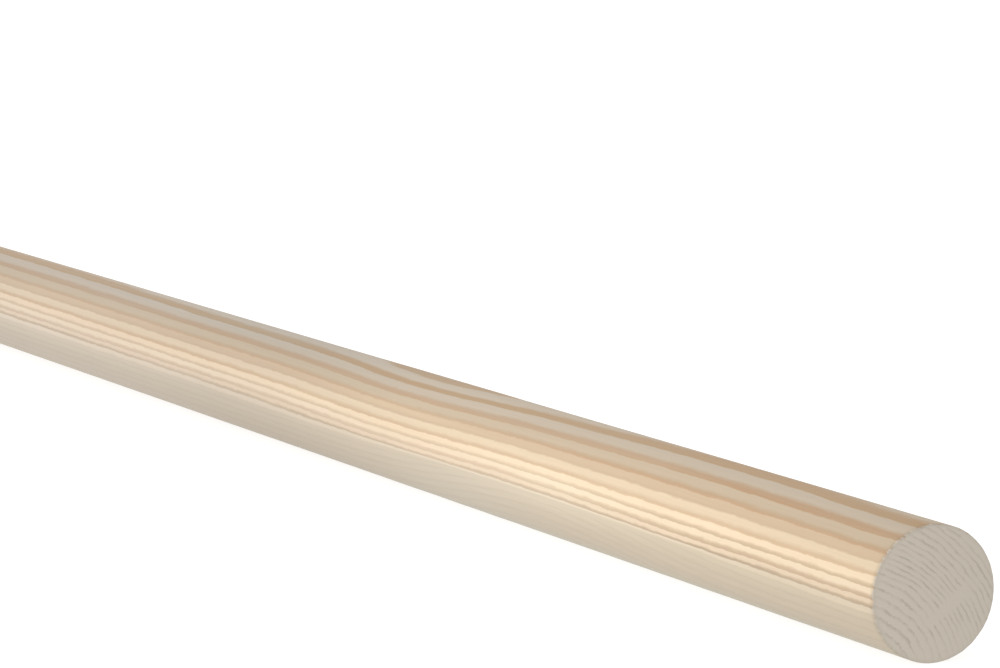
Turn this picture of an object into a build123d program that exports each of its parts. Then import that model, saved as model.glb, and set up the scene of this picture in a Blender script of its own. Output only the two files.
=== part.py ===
from build123d import *
import os

# Wooden dowel rod: one straight round bar of softwood, moulded to a true circle
# along its whole length and sawn square at both ends. It is a single piece.
# Millimetres. The rod lies along X with its middle at the origin, and +Z is up.

# Driving dimensions
rod_diameter = 28.0  # stock diameter of the round bar
rod_length = 1000.0  # one stock length, measured over both sawn ends
edge_round = 0.4  # sharp arris eased off each sawn end

os.makedirs("parts", exist_ok=True)

# The bar: its round section stands on the far end's plane and runs to the near end.
far_end_plane = Plane.YZ.offset(-rod_length / 2)

with BuildPart() as dowel_rod:
    with BuildSketch(far_end_plane):
        Circle(rod_diameter / 2)
    extrude(amount=rod_length)

    # Both sawn ends have the same light round on their rim.
    end_rims = dowel_rod.faces().filter_by(Axis.X).edges()
    fillet(end_rims, radius=edge_round)

dowel_rod.part.label = "dowel_rod"
export_step(dowel_rod.part, "parts/dowel_rod.step")
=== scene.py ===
"""A bare pine dowel rod: the looks of its one piece, its floor, its light and its camera."""

import math

import bpy
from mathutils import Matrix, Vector


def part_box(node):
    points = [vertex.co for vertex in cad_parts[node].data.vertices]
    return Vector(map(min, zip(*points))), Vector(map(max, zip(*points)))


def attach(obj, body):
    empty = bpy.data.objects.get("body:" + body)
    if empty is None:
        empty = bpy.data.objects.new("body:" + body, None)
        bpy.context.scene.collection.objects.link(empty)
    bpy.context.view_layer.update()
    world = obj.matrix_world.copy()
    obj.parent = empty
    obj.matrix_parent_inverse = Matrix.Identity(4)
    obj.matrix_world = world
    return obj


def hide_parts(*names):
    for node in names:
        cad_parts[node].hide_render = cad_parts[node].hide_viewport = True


# ---------------------------------------------------------------- the frame and its sizes
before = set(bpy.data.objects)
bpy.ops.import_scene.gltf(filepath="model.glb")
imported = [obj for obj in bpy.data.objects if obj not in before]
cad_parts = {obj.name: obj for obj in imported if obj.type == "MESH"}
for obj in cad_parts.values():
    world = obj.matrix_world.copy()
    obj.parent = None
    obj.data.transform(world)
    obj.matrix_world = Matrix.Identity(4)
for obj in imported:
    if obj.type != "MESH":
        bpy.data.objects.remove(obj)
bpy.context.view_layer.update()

MM = 0.001
rod_low, rod_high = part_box("dowel_rod")
rod_length = rod_high.x - rod_low.x
rod_radius = (rod_high.y - rod_low.y) / 2
rod_middle = (rod_low + rod_high) / 2
near_end = Vector((rod_high.x, rod_middle.y, rod_middle.z))
rim_round = 0.4 * MM
WHITE = (1.0, 1.0, 1.0, 1.0)

# ---------------------------------------------------------------- the wood
# The rod was cut from one side of a tree, so its growth rings lie in it as nearly flat layers.
# Depths are in millimetres from the rod's axis, away from the tree's pith. All lengths in this
# section are in millimetres too, because grain is easier to think of in them.
GRAIN_SEED = 4.0
PITH_LEAN = math.radians(10)  # the pith lies above the rod, leaning this much towards +Y
FIRST_RING_DEPTH = -18.75  # where the first ring begins, a little above the rod

# The bold rings, from the top down: width, the share of the ring where its late wood begins and
# the share where it is full, colour of the early wood, tint that the late wood lays over it.
# The sixth to ninth rings are paler wood and also a painted highlight: their early wood is made
# lighter and warmer where the key lamp's sheen falls along the seen side.
BOLD_RINGS = (
    (3.25, 0.62, 0.76, (0.565, 0.476, 0.37), (0.825, 0.675, 0.525)),
    (2.55, 0.39, 0.61, (0.565, 0.476, 0.37), (0.825, 0.675, 0.525)),
    (3.15, 0.385, 0.68, (0.541, 0.458, 0.357), (0.863, 0.68, 0.54)),
    (2.83, 0.42, 0.82, (0.545, 0.442, 0.321), (0.90, 0.775, 0.68)),
    (2.14, 0.42, 0.86, (0.602, 0.459, 0.319), (0.94, 0.93, 0.92)),
    # Painted highlight in these four rows, on top of the wood's own paler zone.
    (2.80, 0.38, 0.85, (0.727, 0.59, 0.425), (0.835, 0.765, 0.705)),
    (2.25, 0.38, 0.82, (0.833, 0.673, 0.489), (0.71, 0.68, 0.64)),
    (2.28, 0.32, 0.77, (0.825, 0.674, 0.502), (0.70, 0.65, 0.61)),
    (1.80, 0.33, 0.74, (0.748, 0.602, 0.45), (0.63, 0.60, 0.56)),
    (1.50, 0.42, 0.86, (0.705, 0.60, 0.466), (0.93, 0.92, 0.91)),
)
# Below them the wood is plainer, and its rings barely show.
FAINT_RING_WIDTHS = (1.6, 1.9, 1.8, 1.9, 1.8, 1.9, 1.9, 1.8)
# Their early wood's colour, by the count of rings below the bold ones.
FAINT_EARLY = (
    (0.0, (0.625, 0.535, 0.413)),
    (1.2, (0.608, 0.52, 0.402)),
    (8.0, (0.604, 0.517, 0.402)),
)
FAINT_LATE = (0.42, 0.86, (0.95, 0.942, 0.935))  # where it begins, where it is full, its tint
EARLY_HOLD = 0.8  # early wood keeps its colour to this share of a ring, then nears the next
LATE_STOP = (1.0, 0.92)  # late wood ends at this share of a ring, and is whole up to this one

# Painted light on the side: its brightness by distance from the near end, standing in for the lamps'
# fall-off along the rod, and a slow painted shift of colour on the way, as the warm key's share of
# the light wanes.
PAINTED_LIGHT_ALONG = (
    (0.0, 1.0), (140.0, 1.01), (215.0, 1.01), (300.0, 0.965),
    (345.0, 0.99), (385.0, 1.035), (480.0, 1.10), (1000.0, 1.08),
)
PAINTED_TINT_ALONG = ((1.0, 1.025, 1.09), 500.0)  # the tint, and the distance at which it is full
# Some dark lines soften too: first ring, last ring, where it begins, where it is full, its share.
SOFTER_LINES = (
    (2, 2, 60.0, 110.0, 0.25),
    (3, 3, 90.0, 200.0, 0.28),
    (6, 9, 60.0, 170.0, 0.3),
)
RING_BLUR = 0.1  # how far to each side of a ring's edge that comes in, in rings
# Paler and duller patches on the side, partly the wood's own tone and partly painted light: those at
# middle depths lie in the strip that the key lamp lights, and paint the highlight's rise and fall
# along the rod. Distance, its reach, depth, its reach, tint.
PATCHES = (
    (8.0, 18.0, -12.6, 2.0, (0.96, 0.96, 0.96)),
    (120.0, 170.0, 13.4, 1.3, (1.02, 1.08, 1.13)),
    (135.0, 25.0, 1.2, 2.0, (1.03, 1.055, 1.055)),
    (140.0, 60.0, 4.4, 2.2, (1.07, 1.08, 1.09)),
    (195.0, 38.0, 9.0, 5.0, (1.01, 1.03, 1.06)),
    (222.0, 38.0, -0.5, 2.6, (0.965, 0.955, 0.945)),
    (230.0, 35.0, -5.9, 1.3, (1.06, 1.07, 1.07)),
    (300.0, 80.0, 10.5, 3.5, (0.965, 0.955, 0.955)),
    (340.0, 100.0, -12.9, 1.3, (1.0, 1.05, 1.10)),
    (410.0, 160.0, -7.9, 1.7, (1.035, 1.045, 1.04)),
    (440.0, 130.0, -2.4, 2.4, (0.96, 0.94, 0.925)),
    (480.0, 110.0, 4.6, 2.2, (1.07, 1.06, 1.05)),
)

# Where the layers bend: distance from the near end, reach along the rod, push away from the
# pith on the rod's axis, and what each millimetre of depth adds to that push. A hidden knot
# lies about 230 from the end, and the other bends lead up to it and away from it.
BENDS = (
    (0.0, 38.0, 0.19, -0.019),
    (88.0, 45.0, 0.10, 0.025),
    (162.0, 70.0, -0.45, -0.067),
    (229.0, 51.0, 0.80, -0.045),
    (230.0, 35.0, 0.05, -0.025),
    (327.0, 112.0, 0.19, -0.032),
    (350.0, 80.0, -0.10, -0.02),
)
GRAIN_SLOPE = (-0.0023, -0.00019)  # how fast the layers run out of the rod, given the same way
# Small waves in the layers, as noise: its waves for each millimetre along, across and up, its
# detail and its roughness, and then how far it pushes a layer.
LONG_WAVE = ((0.008, 0.02, 0.02), 1.0, 0.5, 0.2)
SLOW_WAVE = ((0.07, 0.4, 0.4), 1.0, 0.5, 0.5)
EDGE_WAVE = ((0.26, 0.8, 0.8), 2.0, 0.6, 0.8)
# The last wave dies away between these depths, because a layer that only grazes the surface
# would waver much further round the rod than one that cuts straight through it.
EDGE_WAVE_DEPTHS = (19.0, 3.0)

# The faint layers rise under the bold ones in one tall arch: distance, reach and height.
ARCH = (150.0, 62.0, -6.2)
ARCH_ROOF = (3.2, 5.2)  # the depths between which the arch comes in

# On a sawn end the rings are arcs about a pith below it towards -Y, given across and up.
END_PITH = (-20.3, -19.9)
# The count of rings by distance from that pith. They lie closest just past the end's middle.
END_RINGS = ((13.0, 0.0), (22.0, 5.1), (25.5, 7.3), (28.0, 9.3), (34.0, 14.8), (41.0, 20.2))
# They wander from true arcs: waves for each millimetre, detail, and the push in rings.
END_WAVES = ((0.13, 1.0, 1.3), (0.45, 2.0, 0.6), (1.6, 1.0, 0.35))
# The share of a ring where a dark line begins, where it is full, where it wanes, where it ends.
END_LINE = (0.45, 0.76, 0.84, 0.98)
END_PALE_EDGE = (0.92, 1.0)  # a pale edge follows each line, between these shares of a ring
# Each line comes and goes: how far the noise moves from one line to the next and for each
# millimetre along a line, the noise between which it fades in, and what is left at its faintest.
END_BREAKS = (2.7, 0.38, (-0.14, 0.16), 0.25)
# Inside the rim the lines come in between these distances, and at the rim they have this share.
END_RIM_FADE = (0.2, 1.8, 0.45)
# One broad ray crosses them, where the saw smeared the lines: its direction up from +Y, its half
# width, and the distances from the pith where it starts and ends.
END_RAY = (math.radians(36), math.radians(3.5), 23.5, 35.0)
END_RAY_SOFT = (0.4, 1.0)  # the share of its width that is whole, and how far its ends fade
# Beside it the lines are weaker: below this direction, over this turn, inside this distance from
# the pith, over this much more of it, by this share.
END_DULL = (math.radians(26), math.radians(7), 29.0, 4.0, 0.5)

END_EARLY = (0.672, 0.604, 0.514)
END_LATE = (0.82, 0.81, 0.80)
END_SHADE = (0.019, 0.027)  # how much darker the end is at its middle, and how much more at +Y
END_TONE = (0.05, 0.06)  # how much lighter its pale edges are, and how much its pores vary it

# Fine marks, as noise in the same terms.
FIBRES = ((0.05, 2.4, 2.4), 3.0, 0.6)
STREAKS = ((0.012, 0.9, 0.9), 2.0, 0.5)
PORES = ((0.0, 3.0, 3.0), 2.0, 0.7)
FRAY = ((0.0, 1.1, 1.1), 2.0, 0.7)
NICKS = ((0.5, 0.7, 0.7), 2.0, 0.6)
FIBRE_TONE = 0.12  # how much the fibres lighten and darken the side
STREAK_TONE = 0.6  # how much the streaks do, as a share of that
LATE_STRENGTH = (1.2, 0.97)  # how much the streaks vary the late wood, and its usual strength

# Where the side meets the end, by distance past the rim: along the side it is above 0, and
# inwards over the end below 0.
FRAY_REACH = 4.0  # how far the fray carries the border
END_BORDER = (0.8, -0.2)  # the side's colour gives way to the end's between these
WORN_RIM = (0.4, 0.8, -0.15)  # the handled rim: its middle, its reach, its tone

# The finish on the shader: mean roughness, and what late wood, fibres and a sawn end add to it.
ROUGHNESS = (0.65, -0.08, 0.15, 0.12)
SPECULAR = 0.1
BUMP_STRENGTH = 0.3
BUMP_DISTANCE = 0.1
LATE_BUMP = 0.1  # what late wood adds to the fibres' height


# ---------------------------------------------------------------- writing node trees
class Formula:
    """Writes nodes into one tree, so that a sum in a shader or a shape reads as a sum."""

    def __init__(self, tree, seed=0.0):
        self.tree = tree
        self.seed = seed

    def node(self, kind, **settings):
        made = self.tree.nodes.new(kind)
        for name, value in settings.items():
            setattr(made, name, value)
        return made

    def feed(self, socket, value):
        """Joins a value to a socket: another node's output, or a plain number, colour or vector."""
        if isinstance(value, bpy.types.NodeSocket):
            self.tree.links.new(value, socket)
        else:
            socket.default_value = value

    def math(self, operation, *values, clamp=False):
        made = self.node("ShaderNodeMath", operation=operation, use_clamp=clamp)
        for socket, value in zip(made.inputs, values):
            self.feed(socket, value)
        return made.outputs["Value"]

    def add(self, *values):
        total = values[0]
        for value in values[1:]:
            total = self.math("ADD", total, value)
        return total

    def times(self, *values):
        total = values[0]
        for value in values[1:]:
            total = self.math("MULTIPLY", total, value)
        return total

    def minus(self, value, less):
        return self.math("SUBTRACT", value, less)

    def share(self, value, low, high, kind="LINEAR"):
        """How far a value has come from low to high, held between 0 and 1."""
        made = self.node("ShaderNodeMapRange", interpolation_type=kind)
        for name, given in (("Value", value), ("From Min", low), ("From Max", high)):
            self.feed(made.inputs[name], given)
        return made.outputs["Result"]

    def rise(self, value, low, high):
        """The same, as a smooth step. It falls where low is the larger."""
        return self.share(value, low, high, "SMOOTHSTEP")

    def hump(self, value, middle, reach):
        """1 at middle, falling smoothly to almost nothing two reaches away."""
        away = self.math("DIVIDE", self.minus(value, middle), reach)
        return self.math("EXPONENT", self.times(away, away, -1.0))

    def parts(self, vector):
        made = self.node("ShaderNodeSeparateXYZ")
        self.feed(made.inputs[0], vector)
        return made.outputs["X"], made.outputs["Y"], made.outputs["Z"]

    def vector(self, x, y, z):
        made = self.node("ShaderNodeCombineXYZ")
        for socket, value in zip(made.inputs, (x, y, z)):
            self.feed(socket, value)
        return made.outputs[0]

    def noise(self, place, waves, detail=2.0, roughness=0.5):
        """Smooth noise about 0, rarely past 0.3, with so many waves for each unit of X, Y and Z."""
        made = self.node("ShaderNodeTexNoise", noise_dimensions="4D")
        self.feed(made.inputs["Vector"], self.joined("MULTIPLY", place, waves))
        self.feed(made.inputs["W"], self.seed)
        self.feed(made.inputs["Scale"], 1.0)
        self.feed(made.inputs["Detail"], detail)
        self.feed(made.inputs["Roughness"], roughness)
        return self.minus(made.outputs["Fac"], 0.5)

    def curve(self, value, points):
        """A broken line through points, each (value, result), in increasing order."""
        low, high = points[0][0], points[-1][0]
        top = max(result for _, result in points)
        made = self.node("ShaderNodeFloatCurve")
        line = made.mapping.curves[0]
        while len(line.points) < len(points):
            line.points.new(0.5, 0.5)
        for point, (place, result) in zip(line.points, points):
            point.location = ((place - low) / (high - low), result / top)
            point.handle_type = "VECTOR"
        made.mapping.update()
        self.feed(made.inputs["Value"], self.share(value, low, high))
        return self.times(made.outputs["Value"], top)

    def ramp(self, value, stops, steps=False):
        """A colour, or three numbers, through stops of (value, colour), in increasing order."""
        made = self.node("ShaderNodeValToRGB")
        ramp = made.color_ramp
        ramp.interpolation = "CONSTANT" if steps else "LINEAR"
        while len(ramp.elements) < len(stops):
            ramp.elements.new(0.5)
        for element, (place, colour) in zip(ramp.elements, stops):
            element.position = place
            element.color = (*colour, 1.0)
        self.feed(made.inputs["Fac"], value)
        return made.outputs["Color"]

    def scaled(self, vector, by):
        """A vector made longer or shorter, or a colour made lighter or darker."""
        made = self.node("ShaderNodeVectorMath", operation="SCALE")
        self.feed(made.inputs[0], vector)
        self.feed(made.inputs["Scale"], by)
        return made.outputs[0]

    def joined(self, operation, first, second):
        """Two vectors added or multiplied, part by part."""
        made = self.node("ShaderNodeVectorMath", operation=operation)
        self.feed(made.inputs[0], first)
        self.feed(made.inputs[1], second)
        return made.outputs[0]

    def between(self, share, first, second):
        """The number that lies this share of the way from the first to the second."""
        return self.add(first, self.times(share, self.minus(second, first)))

    def blend(self, share, first, second, mode="MIX"):
        """Two colours mixed, or the second laid over the first as a tint with MULTIPLY."""
        made = self.node("ShaderNodeMix", data_type="RGBA", blend_type=mode)
        self.feed(made.inputs["Factor"], share)
        for name, colour in (("A", first), ("B", second)):
            socket = [s for s in made.inputs if s.name == name and s.type == "RGBA"][0]
            self.feed(socket, (*colour, 1.0) if isinstance(colour, tuple) else colour)
        return [s for s in made.outputs if s.type == "RGBA"][0]


def ring_edges():
    """Depth of every ring's outer edge, from the widths of the rings."""
    edges = [FIRST_RING_DEPTH]
    for width in (*(ring[0] for ring in BOLD_RINGS), *FAINT_RING_WIDTHS):
        edges.append(edges[-1] + width)
    return edges


def ring_ramp(f, ring, stops, steps=False):
    """Values that change with the count of rings, given as (count, three numbers)."""
    rings = len(ring_edges()) - 1
    shares = [(count / rings, given) for count, given in stops]
    return f.ramp(f.times(ring, 1 / rings), shares, steps)


def flat_layers(f, place):
    """A point's distance from the near end, and its depth as if the layers were flat."""
    along, across, up = f.parts(place)
    depth = f.add(f.times(across, -math.sin(PITH_LEAN)), f.times(up, -math.cos(PITH_LEAN)))
    return f.minus(near_end.x / MM, along), depth


def inside_round(f, across, up):
    """How far a point lies inside the rod's round side."""
    from_axis = f.math("SQRT", f.add(f.times(across, across), f.times(up, up)))
    return f.minus(rod_radius / MM, from_axis)


def wave(f, place, waves, detail, roughness, push):
    """One small wave in the layers, as the distance that it pushes them."""
    return f.times(f.noise(place, waves, detail, roughness), push)


def side_grain(f, place):
    """The growth rings as bent layers: the ring that a point lies in, and how far into late wood."""
    from_near, flat_depth = flat_layers(f, place)
    slope, slope_growth = GRAIN_SLOPE
    pushes = [f.times(from_near, f.math("MULTIPLY_ADD", flat_depth, slope_growth, slope))]
    for distance, reach, push, growth in BENDS:
        whole = f.math("MULTIPLY_ADD", flat_depth, growth, push)
        pushes.append(f.times(f.hump(from_near, distance, reach), whole))
    arch_distance, arch_reach, arch_height = ARCH
    arch = f.hump(from_near, arch_distance, arch_reach)
    pushes.append(f.times(arch, f.rise(flat_depth, *ARCH_ROOF), arch_height))
    pushes.append(wave(f, place, *LONG_WAVE))
    pushes.append(wave(f, place, *SLOW_WAVE))
    cuts_through = f.rise(f.math("ABSOLUTE", flat_depth), *EDGE_WAVE_DEPTHS)
    pushes.append(f.times(wave(f, place, *EDGE_WAVE), cuts_through))
    depth = f.minus(flat_depth, f.add(*pushes))

    ring = f.curve(depth, [(edge, float(count)) for count, edge in enumerate(ring_edges())])
    spans = [
        (count, (begins, full, 0.0)) for count, (_, begins, full, _, _) in enumerate(BOLD_RINGS)
    ]
    begins, full, _ = FAINT_LATE
    spans.append((len(BOLD_RINGS), (begins, full, 0.0)))
    begins, full, _ = f.parts(ring_ramp(f, ring, spans, steps=True))
    age = f.math("FRACT", ring)
    late = f.times(f.rise(age, begins, full), f.rise(age, *LATE_STOP))
    return ring, late


def end_grain(f, place):
    """The rings on a sawn end as thin broken arcs: how dark, and how pale, a point is."""
    _, across, up = f.parts(place)
    right, high = f.minus(across, END_PITH[0]), f.minus(up, END_PITH[1])
    reach = f.math("SQRT", f.add(f.times(right, right), f.times(high, high)))
    turn = f.math("ARCTAN2", high, right)
    wander = [
        f.times(f.noise(place, (0.0, waves, waves), detail), push)
        for waves, detail, push in END_WAVES
    ]
    ring = f.add(f.curve(reach, END_RINGS), f.add(*wander))
    age = f.math("FRACT", ring)

    direction, half_width, start, end = END_RAY
    whole, fade = END_RAY_SOFT
    ray = f.times(
        f.rise(f.math("ABSOLUTE", f.minus(turn, direction)), half_width, whole * half_width),
        f.rise(reach, start - fade, start + fade),
        f.rise(reach, end + fade, end - fade),
    )
    below, over, within, beyond, share = END_DULL
    dull = f.times(f.rise(turn, below + over, below), f.rise(reach, within + beyond, within), share)

    # Turns become millimetres round the pith, as they are where the ray starts.
    next_line, along_line, fades_in, faintest = END_BREAKS
    around = f.times(turn, start)
    line_place = f.vector(
        f.times(f.math("FLOOR", ring), next_line), f.times(around, along_line), 0.0
    )
    strength = f.rise(f.noise(line_place, (1.0, 1.0, 1.0)), *fades_in)
    shown = f.math("MULTIPLY_ADD", strength, 1.0 - faintest, faintest)

    first, last, rim_share = END_RIM_FADE
    rim = f.between(f.rise(inside_round(f, across, up), first, last), rim_share, 1.0)
    clear = f.times(shown, f.minus(1.0, ray), f.minus(1.0, dull), rim)
    begins, full, wanes, ends = END_LINE
    dark = f.times(f.rise(age, begins, full), f.rise(age, ends, wanes), clear)
    pale = f.times(f.rise(age, *END_PALE_EDGE), clear)
    return dark, pale


# ---------------------------------------------------------------- the wood's finish
def ring_colours(f, ring):
    """The early wood's colour, with a painted highlight in the rings that the key lamp lights, and
    the late wood's tint, ring by ring.
    """
    early, late = [], []
    for count, (_, _, _, colour, tint) in enumerate(BOLD_RINGS):
        early += [(count, colour), (count + EARLY_HOLD, colour)]
        late.append((count, tint))
    bold = len(BOLD_RINGS)
    early += [(bold + count, colour) for count, colour in FAINT_EARLY]
    _, _, faint_tint = FAINT_LATE
    late.append((bold, faint_tint))
    return ring_ramp(f, ring, early), ring_ramp(f, ring, late, steps=True)


def side_wood(f, place):
    """The round side: its colour, with painted light along the rod and a painted highlight, how far
    a point is late wood, and its fibres.
    """
    ring, late = side_grain(f, place)
    early_colour_and_highlight, late_tint = ring_colours(f, ring)
    from_near, flat_depth = flat_layers(f, place)
    fibre = f.noise(place, *FIBRES)
    streak = f.noise(place, *STREAKS)

    late = f.times(late, f.math("MULTIPLY_ADD", streak, *LATE_STRENGTH, clamp=True))
    for first, last, begins, full, share in SOFTER_LINES:
        soft = f.times(
            f.rise(ring, first - RING_BLUR, first + RING_BLUR),
            f.rise(ring, last + 1 + RING_BLUR, last + 1 - RING_BLUR),
            f.rise(from_near, begins, full),
        )
        late = f.times(late, f.math("MULTIPLY_ADD", soft, -share, 1.0))
    colour = f.blend(late, early_colour_and_highlight, late_tint, "MULTIPLY")

    # Partly painted light: patches at middle depths brighten and dim the highlight strip along the
    # rod.
    for distance, reach, depth, spread, tint in PATCHES:
        patch = f.times(f.hump(from_near, distance, reach), f.hump(flat_depth, depth, spread))
        colour = f.blend(patch, colour, tint, "MULTIPLY")
    marks = f.add(fibre, f.times(streak, STREAK_TONE))
    colour = f.scaled(colour, f.math("MULTIPLY_ADD", marks, FIBRE_TONE, 1.0))
    # Painted light: the side is lightened and darkened along the rod, and its colour shifted, in
    # place of the lamps' fall-off.
    colour = f.scaled(colour, f.curve(from_near, PAINTED_LIGHT_ALONG))
    fade, full_at = PAINTED_TINT_ALONG
    colour = f.blend(f.rise(from_near, 0.0, full_at), colour, fade, "MULTIPLY")
    return colour, late, fibre


def end_wood(f, place):
    """A sawn end: its colour, how far a point is on a dark line, and its pores."""
    _, across, _ = f.parts(place)
    dark, pale = end_grain(f, place)
    pores = f.noise(place, *PORES)
    middle_shade, side_shade = END_SHADE
    pale_tone, pore_tone = END_TONE
    away = f.times(across, -side_shade / (rod_radius / MM))
    tone = f.add(f.times(pale, pale_tone), f.times(pores, pore_tone), away, 1.0 - middle_shade)
    colour = f.scaled(f.blend(dark, END_EARLY, END_LATE, "MULTIPLY"), tone)
    return colour, dark, pores


def bare_pine():
    """Sanded softwood: ringed along the side, greyer and finely ringed on the sawn ends."""
    material = bpy.data.materials.new("bare_pine")
    material.use_nodes = True
    tree = material.node_tree
    tree.nodes.clear()
    f = Formula(tree, GRAIN_SEED)
    place = f.scaled(f.node("ShaderNodeTexCoord").outputs["Object"], 1 / MM)
    side_colour, late, fibre = side_wood(f, place)
    end_colour, dark, pores = end_wood(f, place)

    # The saw leaves a ragged line where the side's colour ends, and handling darkens the rim.
    along, across, up = f.parts(place)
    from_end = f.minus(rod_length / 2 / MM, f.math("ABSOLUTE", along))
    past_rim = f.minus(from_end, inside_round(f, across, up))
    frayed = f.math("MULTIPLY_ADD", f.noise(place, *FRAY), FRAY_REACH, past_rim)
    is_end = f.rise(frayed, *END_BORDER)
    rim_middle, rim_reach, rim_tone = WORN_RIM
    worn = f.math("MULTIPLY_ADD", f.hump(past_rim, rim_middle, rim_reach), rim_tone, 1.0)
    colour = f.scaled(f.blend(is_end, side_colour, end_colour), worn)

    height = f.between(is_end, f.add(fibre, f.times(late, LATE_BUMP)), f.minus(pores, dark))
    bump = f.node("ShaderNodeBump")
    f.feed(bump.inputs["Strength"], BUMP_STRENGTH)
    f.feed(bump.inputs["Distance"], BUMP_DISTANCE * MM)
    f.feed(bump.inputs["Height"], height)

    wood = f.node("ShaderNodeBsdfPrincipled")
    usual, of_late, of_fibre, of_end = ROUGHNESS
    rough = f.add(f.times(late, of_late), f.times(fibre, of_fibre), f.times(is_end, of_end), usual)
    f.feed(wood.inputs["Base Color"], colour)
    f.feed(wood.inputs["Specular IOR Level"], SPECULAR)
    f.feed(wood.inputs["Roughness"], rough)
    f.feed(wood.inputs["Normal"], bump.outputs["Normal"])
    out = f.node("ShaderNodeOutputMaterial")
    f.feed(out.inputs["Surface"], wood.outputs["BSDF"])
    return material


# ---------------------------------------------------------------- the rod's shape
FLAT_SHARE = 0.88  # the share of an end's grid on its flat face, inside the rim's round
NICK_NOISE = (0.02, 0.22)  # the noise between which a nick in the rim comes in


def round_stick_tree():
    """A closed bar: a gridded block pressed round, so that no face runs to a point."""
    tree = bpy.data.node_groups.new("round_stick", "GeometryNodeTree")
    for name, kind in (
        ("Radius", "NodeSocketFloat"),
        ("Length", "NodeSocketFloat"),
        ("Rim Round", "NodeSocketFloat"),
        ("Rows", "NodeSocketInt"),
        ("Grid", "NodeSocketInt"),
        ("Side Relief", "NodeSocketFloat"),
        ("End Relief", "NodeSocketFloat"),
        ("Rim Nicks", "NodeSocketFloat"),
        ("Grain Seed", "NodeSocketFloat"),
        ("Wood", "NodeSocketMaterial"),
    ):
        tree.interface.new_socket(name, in_out="INPUT", socket_type=kind)
    tree.interface.new_socket("Stick", in_out="OUTPUT", socket_type="NodeSocketGeometry")
    f = Formula(tree)
    given = f.node("NodeGroupInput").outputs
    f.seed = given["Grain Seed"]

    block = f.node("GeometryNodeMeshCube")
    f.feed(block.inputs["Size"], (2.0, 2.0, 2.0))
    for name, source in (("Vertices X", "Rows"), ("Vertices Y", "Grid"), ("Vertices Z", "Grid")):
        f.feed(block.inputs[name], given[source])
    along, across, up = f.parts(f.node("GeometryNodeInputPosition").outputs[0])

    # Each square of the block's grid becomes a circle, with its corners pulled in.
    wide, tall = f.math("ABSOLUTE", across), f.math("ABSOLUTE", up)
    square = f.math("MAXIMUM", wide, tall)
    is_wide = f.math("GREATER_THAN", wide, tall)
    is_tall = f.minus(1.0, is_wide)
    eighth = math.pi / 4
    turn_wide = f.times(f.math("DIVIDE", up, across), eighth)
    turn_tall = f.times(f.math("DIVIDE", across, up), eighth)
    side_wide, side_tall = f.math("SIGN", across), f.math("SIGN", up)
    dir_across = f.add(
        f.times(is_wide, side_wide, f.math("COSINE", turn_wide)),
        f.times(is_tall, side_tall, f.math("SINE", turn_tall)),
    )
    dir_up = f.add(
        f.times(is_wide, side_wide, f.math("SINE", turn_wide)),
        f.times(is_tall, side_tall, f.math("COSINE", turn_tall)),
    )

    # The outermost steps of the grid make the rim's round, and the rest the flat sawn face.
    round_share = f.math("DIVIDE", f.minus(square, FLAT_SHARE), 1.0 - FLAT_SHARE, clamp=True)
    rim_turn = f.times(round_share, math.pi / 2)
    outward, endward = f.math("SINE", rim_turn), f.math("COSINE", rim_turn)
    rim = given["Rim Round"]
    flat_share = f.math("MINIMUM", f.math("DIVIDE", square, FLAT_SHARE), 1.0)
    radius = f.add(
        f.times(f.minus(given["Radius"], rim), flat_share),
        f.times(rim, outward),
    )
    end_side = f.math("SIGN", along)
    straight = f.minus(f.times(given["Length"], 0.5), rim)
    x = f.add(f.times(along, straight), f.times(end_side, rim, endward))
    place = f.vector(x, f.times(radius, dir_across), f.times(radius, dir_up))
    faces = f.vector(
        f.times(end_side, endward), f.times(outward, dir_across), f.times(outward, dir_up)
    )

    # Sanding leaves the soft early wood a little lower than the hard late wood, and the saw
    # leaves grooves in the ends and small nicks along their rims.
    place_mm = f.scaled(place, 1 / MM)
    _, late = side_grain(f, place_mm)
    dark, _ = end_grain(f, place_mm)
    rim_share = f.times(outward, endward, 2.0)
    nick = f.rise(f.noise(place_mm, *NICKS), *NICK_NOISE)
    hollow = f.add(
        f.times(given["Side Relief"], outward, f.minus(1.0, late)),
        f.times(given["End Relief"], endward, dark),
        f.times(given["Rim Nicks"], rim_share, nick),
    )
    sunk = f.scaled(faces, f.times(hollow, -1.0))

    shaped = f.node("GeometryNodeSetPosition")
    f.feed(shaped.inputs["Geometry"], block.outputs["Mesh"])
    f.feed(shaped.inputs["Position"], f.joined("ADD", place, sunk))
    smooth = f.node("GeometryNodeSetShadeSmooth")
    f.feed(smooth.inputs["Geometry"], shaped.outputs["Geometry"])
    real = f.node("GeometryNodeRealizeInstances")
    f.feed(real.inputs["Geometry"], smooth.outputs["Geometry"])
    finish = f.node("GeometryNodeSetMaterial")
    f.feed(finish.inputs["Geometry"], real.outputs["Geometry"])
    f.feed(finish.inputs["Material"], given["Wood"])
    f.feed(f.node("NodeGroupOutput").inputs["Stick"], finish.outputs["Geometry"])
    return tree


def grown(name, tree, values):
    """Runs a shape tree with its named inputs and keeps the result as a plain mesh."""
    seed = bpy.data.objects.new(name + "_seed", bpy.data.meshes.new(name + "_seed"))
    bpy.context.scene.collection.objects.link(seed)
    modifier = seed.modifiers.new(name, "NODES")
    modifier.node_group = tree
    sockets = {s.name: s.identifier for s in tree.interface.items_tree if s.in_out == "INPUT"}
    for socket, value in values.items():
        modifier[sockets[socket]] = value
    bpy.context.view_layer.update()
    evaluated = seed.evaluated_get(bpy.context.evaluated_depsgraph_get())
    mesh = bpy.data.meshes.new_from_object(evaluated)
    mesh.name = name
    bpy.data.objects.remove(seed)
    piece = bpy.data.objects.new(name, mesh)
    bpy.context.scene.collection.objects.link(piece)
    return piece


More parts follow.
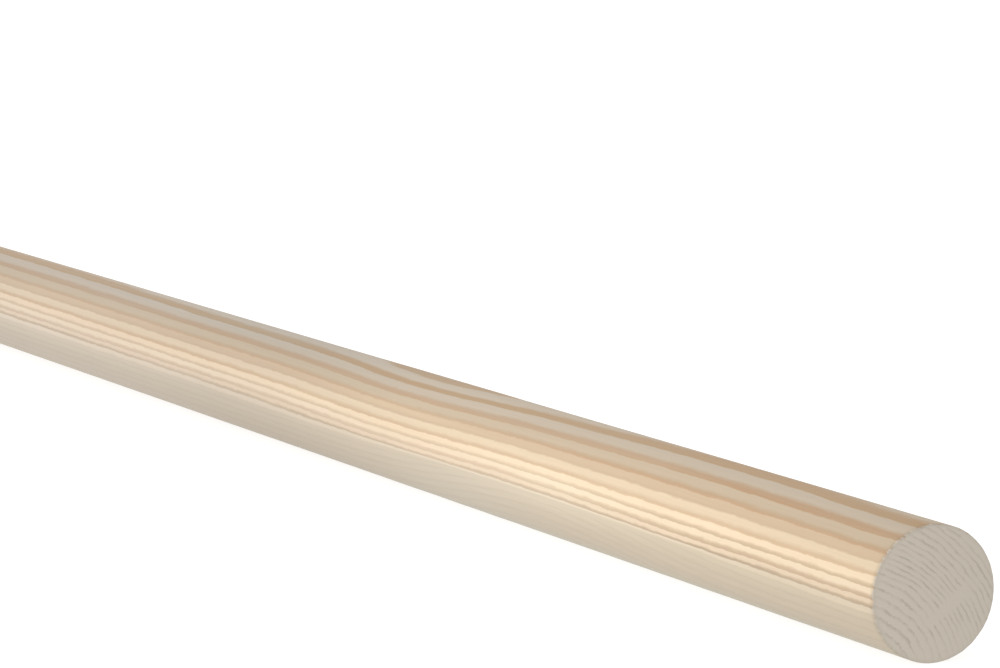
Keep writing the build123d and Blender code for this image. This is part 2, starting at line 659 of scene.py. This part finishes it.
def make_rod():
    """The rod itself. Its reliefs and nicks only sink below the true round bar."""
    rod = grown(
        "pine_rod",
        round_stick_tree(),
        {
            "Radius": rod_radius,
            "Length": rod_length,
            "Rim Round": rim_round,
            "Rows": 151,
            "Grid": 113,
            "Side Relief": 0.03 * MM,
            "End Relief": 0.05 * MM,
            "Rim Nicks": 0.08 * MM,
            "Grain Seed": GRAIN_SEED,
            "Wood": bare_pine(),
        },
    )
    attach(rod, "root")
    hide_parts("dowel_rod")


# ---------------------------------------------------------------- the stage
FLOOR_HALF = 8.0
FLOOR_GREY = 0.4  # what light it gives back, so that a shadow on it can show
FLOOR_GLOW = 0.77  # what it adds to that for rays that show it, which brings it to white
WORLD_SHOWN = 1.0  # the world's strength for rays that show it, which makes it white
WORLD_CAST = 0.80  # its strength as light
SUN_PLACE = Vector((-1.5, -0.9, 1.0))  # from the near end, which it shines at
KEY_AIM = Vector((-0.135, 0.0, 0.0))  # the point that it shines at, from the near end
KEY_PLACE = Vector((0.0, -0.30, 0.095))  # from that point
CAMERA_PLACE = Vector((0.7731, -0.4701, 0.1695))  # from the near end
CAMERA_HEADING = math.radians(64.147)  # the way that its back faces, from -Y towards +X
CAMERA_TILT = math.radians(7.439)  # how far down it looks


def seen_rays(f):
    """1 for rays that show a thing: to the camera, or through gloss and glass."""
    path = f.node("ShaderNodeLightPath")
    return f.math(
        "MAXIMUM",
        f.math("MAXIMUM", path.outputs["Is Camera Ray"], path.outputs["Is Glossy Ray"]),
        path.outputs["Is Transmission Ray"],
    )


def make_floor():
    """A white floor that keeps a faint shadow, and neither lights the rod nor shades it."""
    material = bpy.data.materials.new("pale_floor")
    material.use_nodes = True
    tree = material.node_tree
    tree.nodes.clear()
    f = Formula(tree)
    matt = f.node("ShaderNodeBsdfDiffuse")
    f.feed(matt.inputs["Color"], (FLOOR_GREY, FLOOR_GREY, FLOOR_GREY, 1.0))
    glow = f.node("ShaderNodeEmission")
    f.feed(glow.inputs["Color"], WHITE)
    f.feed(glow.inputs["Strength"], f.times(seen_rays(f), FLOOR_GLOW))
    both = f.node("ShaderNodeAddShader")
    f.feed(both.inputs[0], matt.outputs[0])
    f.feed(both.inputs[1], glow.outputs[0])
    f.feed(f.node("ShaderNodeOutputMaterial").inputs["Surface"], both.outputs[0])

    level = rod_middle.z - rod_radius
    corners = [
        (x * FLOOR_HALF, y * FLOOR_HALF, level) for x, y in ((-1, -1), (1, -1), (1, 1), (-1, 1))
    ]
    mesh = bpy.data.meshes.new("floor")
    mesh.from_pydata(corners, [], [(0, 1, 2, 3)])
    mesh.materials.append(material)
    floor = bpy.data.objects.new("floor", mesh)
    bpy.context.scene.collection.objects.link(floor)
    floor.visible_diffuse = False
    floor.visible_shadow = False


def make_light():
    """Even white light from all round, a soft warm key from the seen side, and a little sun."""
    world = bpy.data.worlds.new("studio")
    world.use_nodes = True
    bpy.context.scene.world = world
    tree = world.node_tree
    tree.nodes.clear()
    f = Formula(tree)
    back = f.node("ShaderNodeBackground")
    f.feed(back.inputs["Color"], WHITE)
    f.feed(back.inputs["Strength"], f.between(seen_rays(f), WORLD_CAST, WORLD_SHOWN))
    f.feed(f.node("ShaderNodeOutputWorld").inputs["Surface"], back.outputs[0])

    sun = bpy.data.lights.new("sun", "SUN")
    sun.energy = 0.40
    sun.angle = math.radians(25)
    sun.color = (1.0, 0.95, 0.88)
    hang(sun, near_end + SUN_PLACE, near_end)

    key = bpy.data.lights.new("key", "AREA")
    key.shape = "SQUARE"
    key.size = 0.20
    key.energy = 0.36
    key.color = (1.0, 0.96, 0.87)
    hang(key, near_end + KEY_AIM + KEY_PLACE, near_end + KEY_AIM)


def hang(lamp, place, aim):
    """Sets a lamp at a place and turns it to shine at another."""
    held = bpy.data.objects.new(lamp.name, lamp)
    bpy.context.scene.collection.objects.link(held)
    held.location = place
    held.rotation_mode = "QUATERNION"
    held.rotation_quaternion = (aim - place).to_track_quat("-Z", "Y")


def make_camera():
    """A long lens, low and to one side, so that the rod runs away to the upper left."""
    data = bpy.data.cameras.new("camera")
    data.sensor_width = 36.0
    data.lens = 166.46
    camera = bpy.data.objects.new("camera", data)
    bpy.context.scene.collection.objects.link(camera)
    level = Vector((math.sin(CAMERA_HEADING), -math.cos(CAMERA_HEADING), 0.0))
    back = level * math.cos(CAMERA_TILT) + Vector((0.0, 0.0, math.sin(CAMERA_TILT)))
    camera.location = near_end + CAMERA_PLACE
    camera.rotation_mode = "QUATERNION"
    camera.rotation_quaternion = (-back).to_track_quat("-Z", "Y")
    bpy.context.scene.camera = camera


make_rod()
make_floor()
make_light()
make_camera()
bpy.context.scene.view_settings.view_transform = "Standard"
